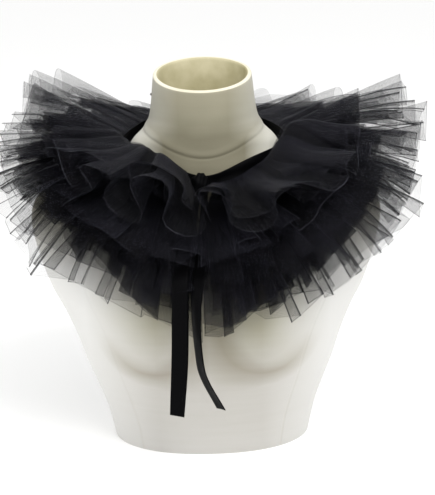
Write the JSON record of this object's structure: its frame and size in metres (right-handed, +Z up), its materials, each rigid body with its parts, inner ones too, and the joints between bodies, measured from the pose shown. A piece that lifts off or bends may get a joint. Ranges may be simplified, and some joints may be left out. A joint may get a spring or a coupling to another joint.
{
  "type": "ruff collar on a dress form",
  "caption": "Full black tulle ruff collar in gathered tiers on a ribbon tied at the front with two hanging ends, worn on a cream limbless dress form.",
  "frame": {"origin": "middle of the dress form's flat underside", "axes": "+Z up through the neck, -Y the way the front faces, +X to the viewer's right when looked at from the front"},
  "size_m": [0.4817, 0.4057, 0.4132],
  "materials": {
    "form_cover": "cream cotton cover, matt",
    "black_tulle": "sheer nylon net, matt",
    "black_ribbon": "satin ribbon, soft sheen"
  },
  "bodies": {
    "root": {"dress_form": "form_cover", "neckband": "black_ribbon", "ribbon_knot": "black_ribbon", "ribbon_end_left": "black_ribbon", "ribbon_end_right": "black_ribbon", "tulle_tier_1": "black_tulle", "tulle_tier_2": "black_tulle", "tulle_tier_3": "black_tulle", "tulle_tier_4": "black_tulle", "tulle_tier_5": "black_tulle"}
  },
  "joints": []
}
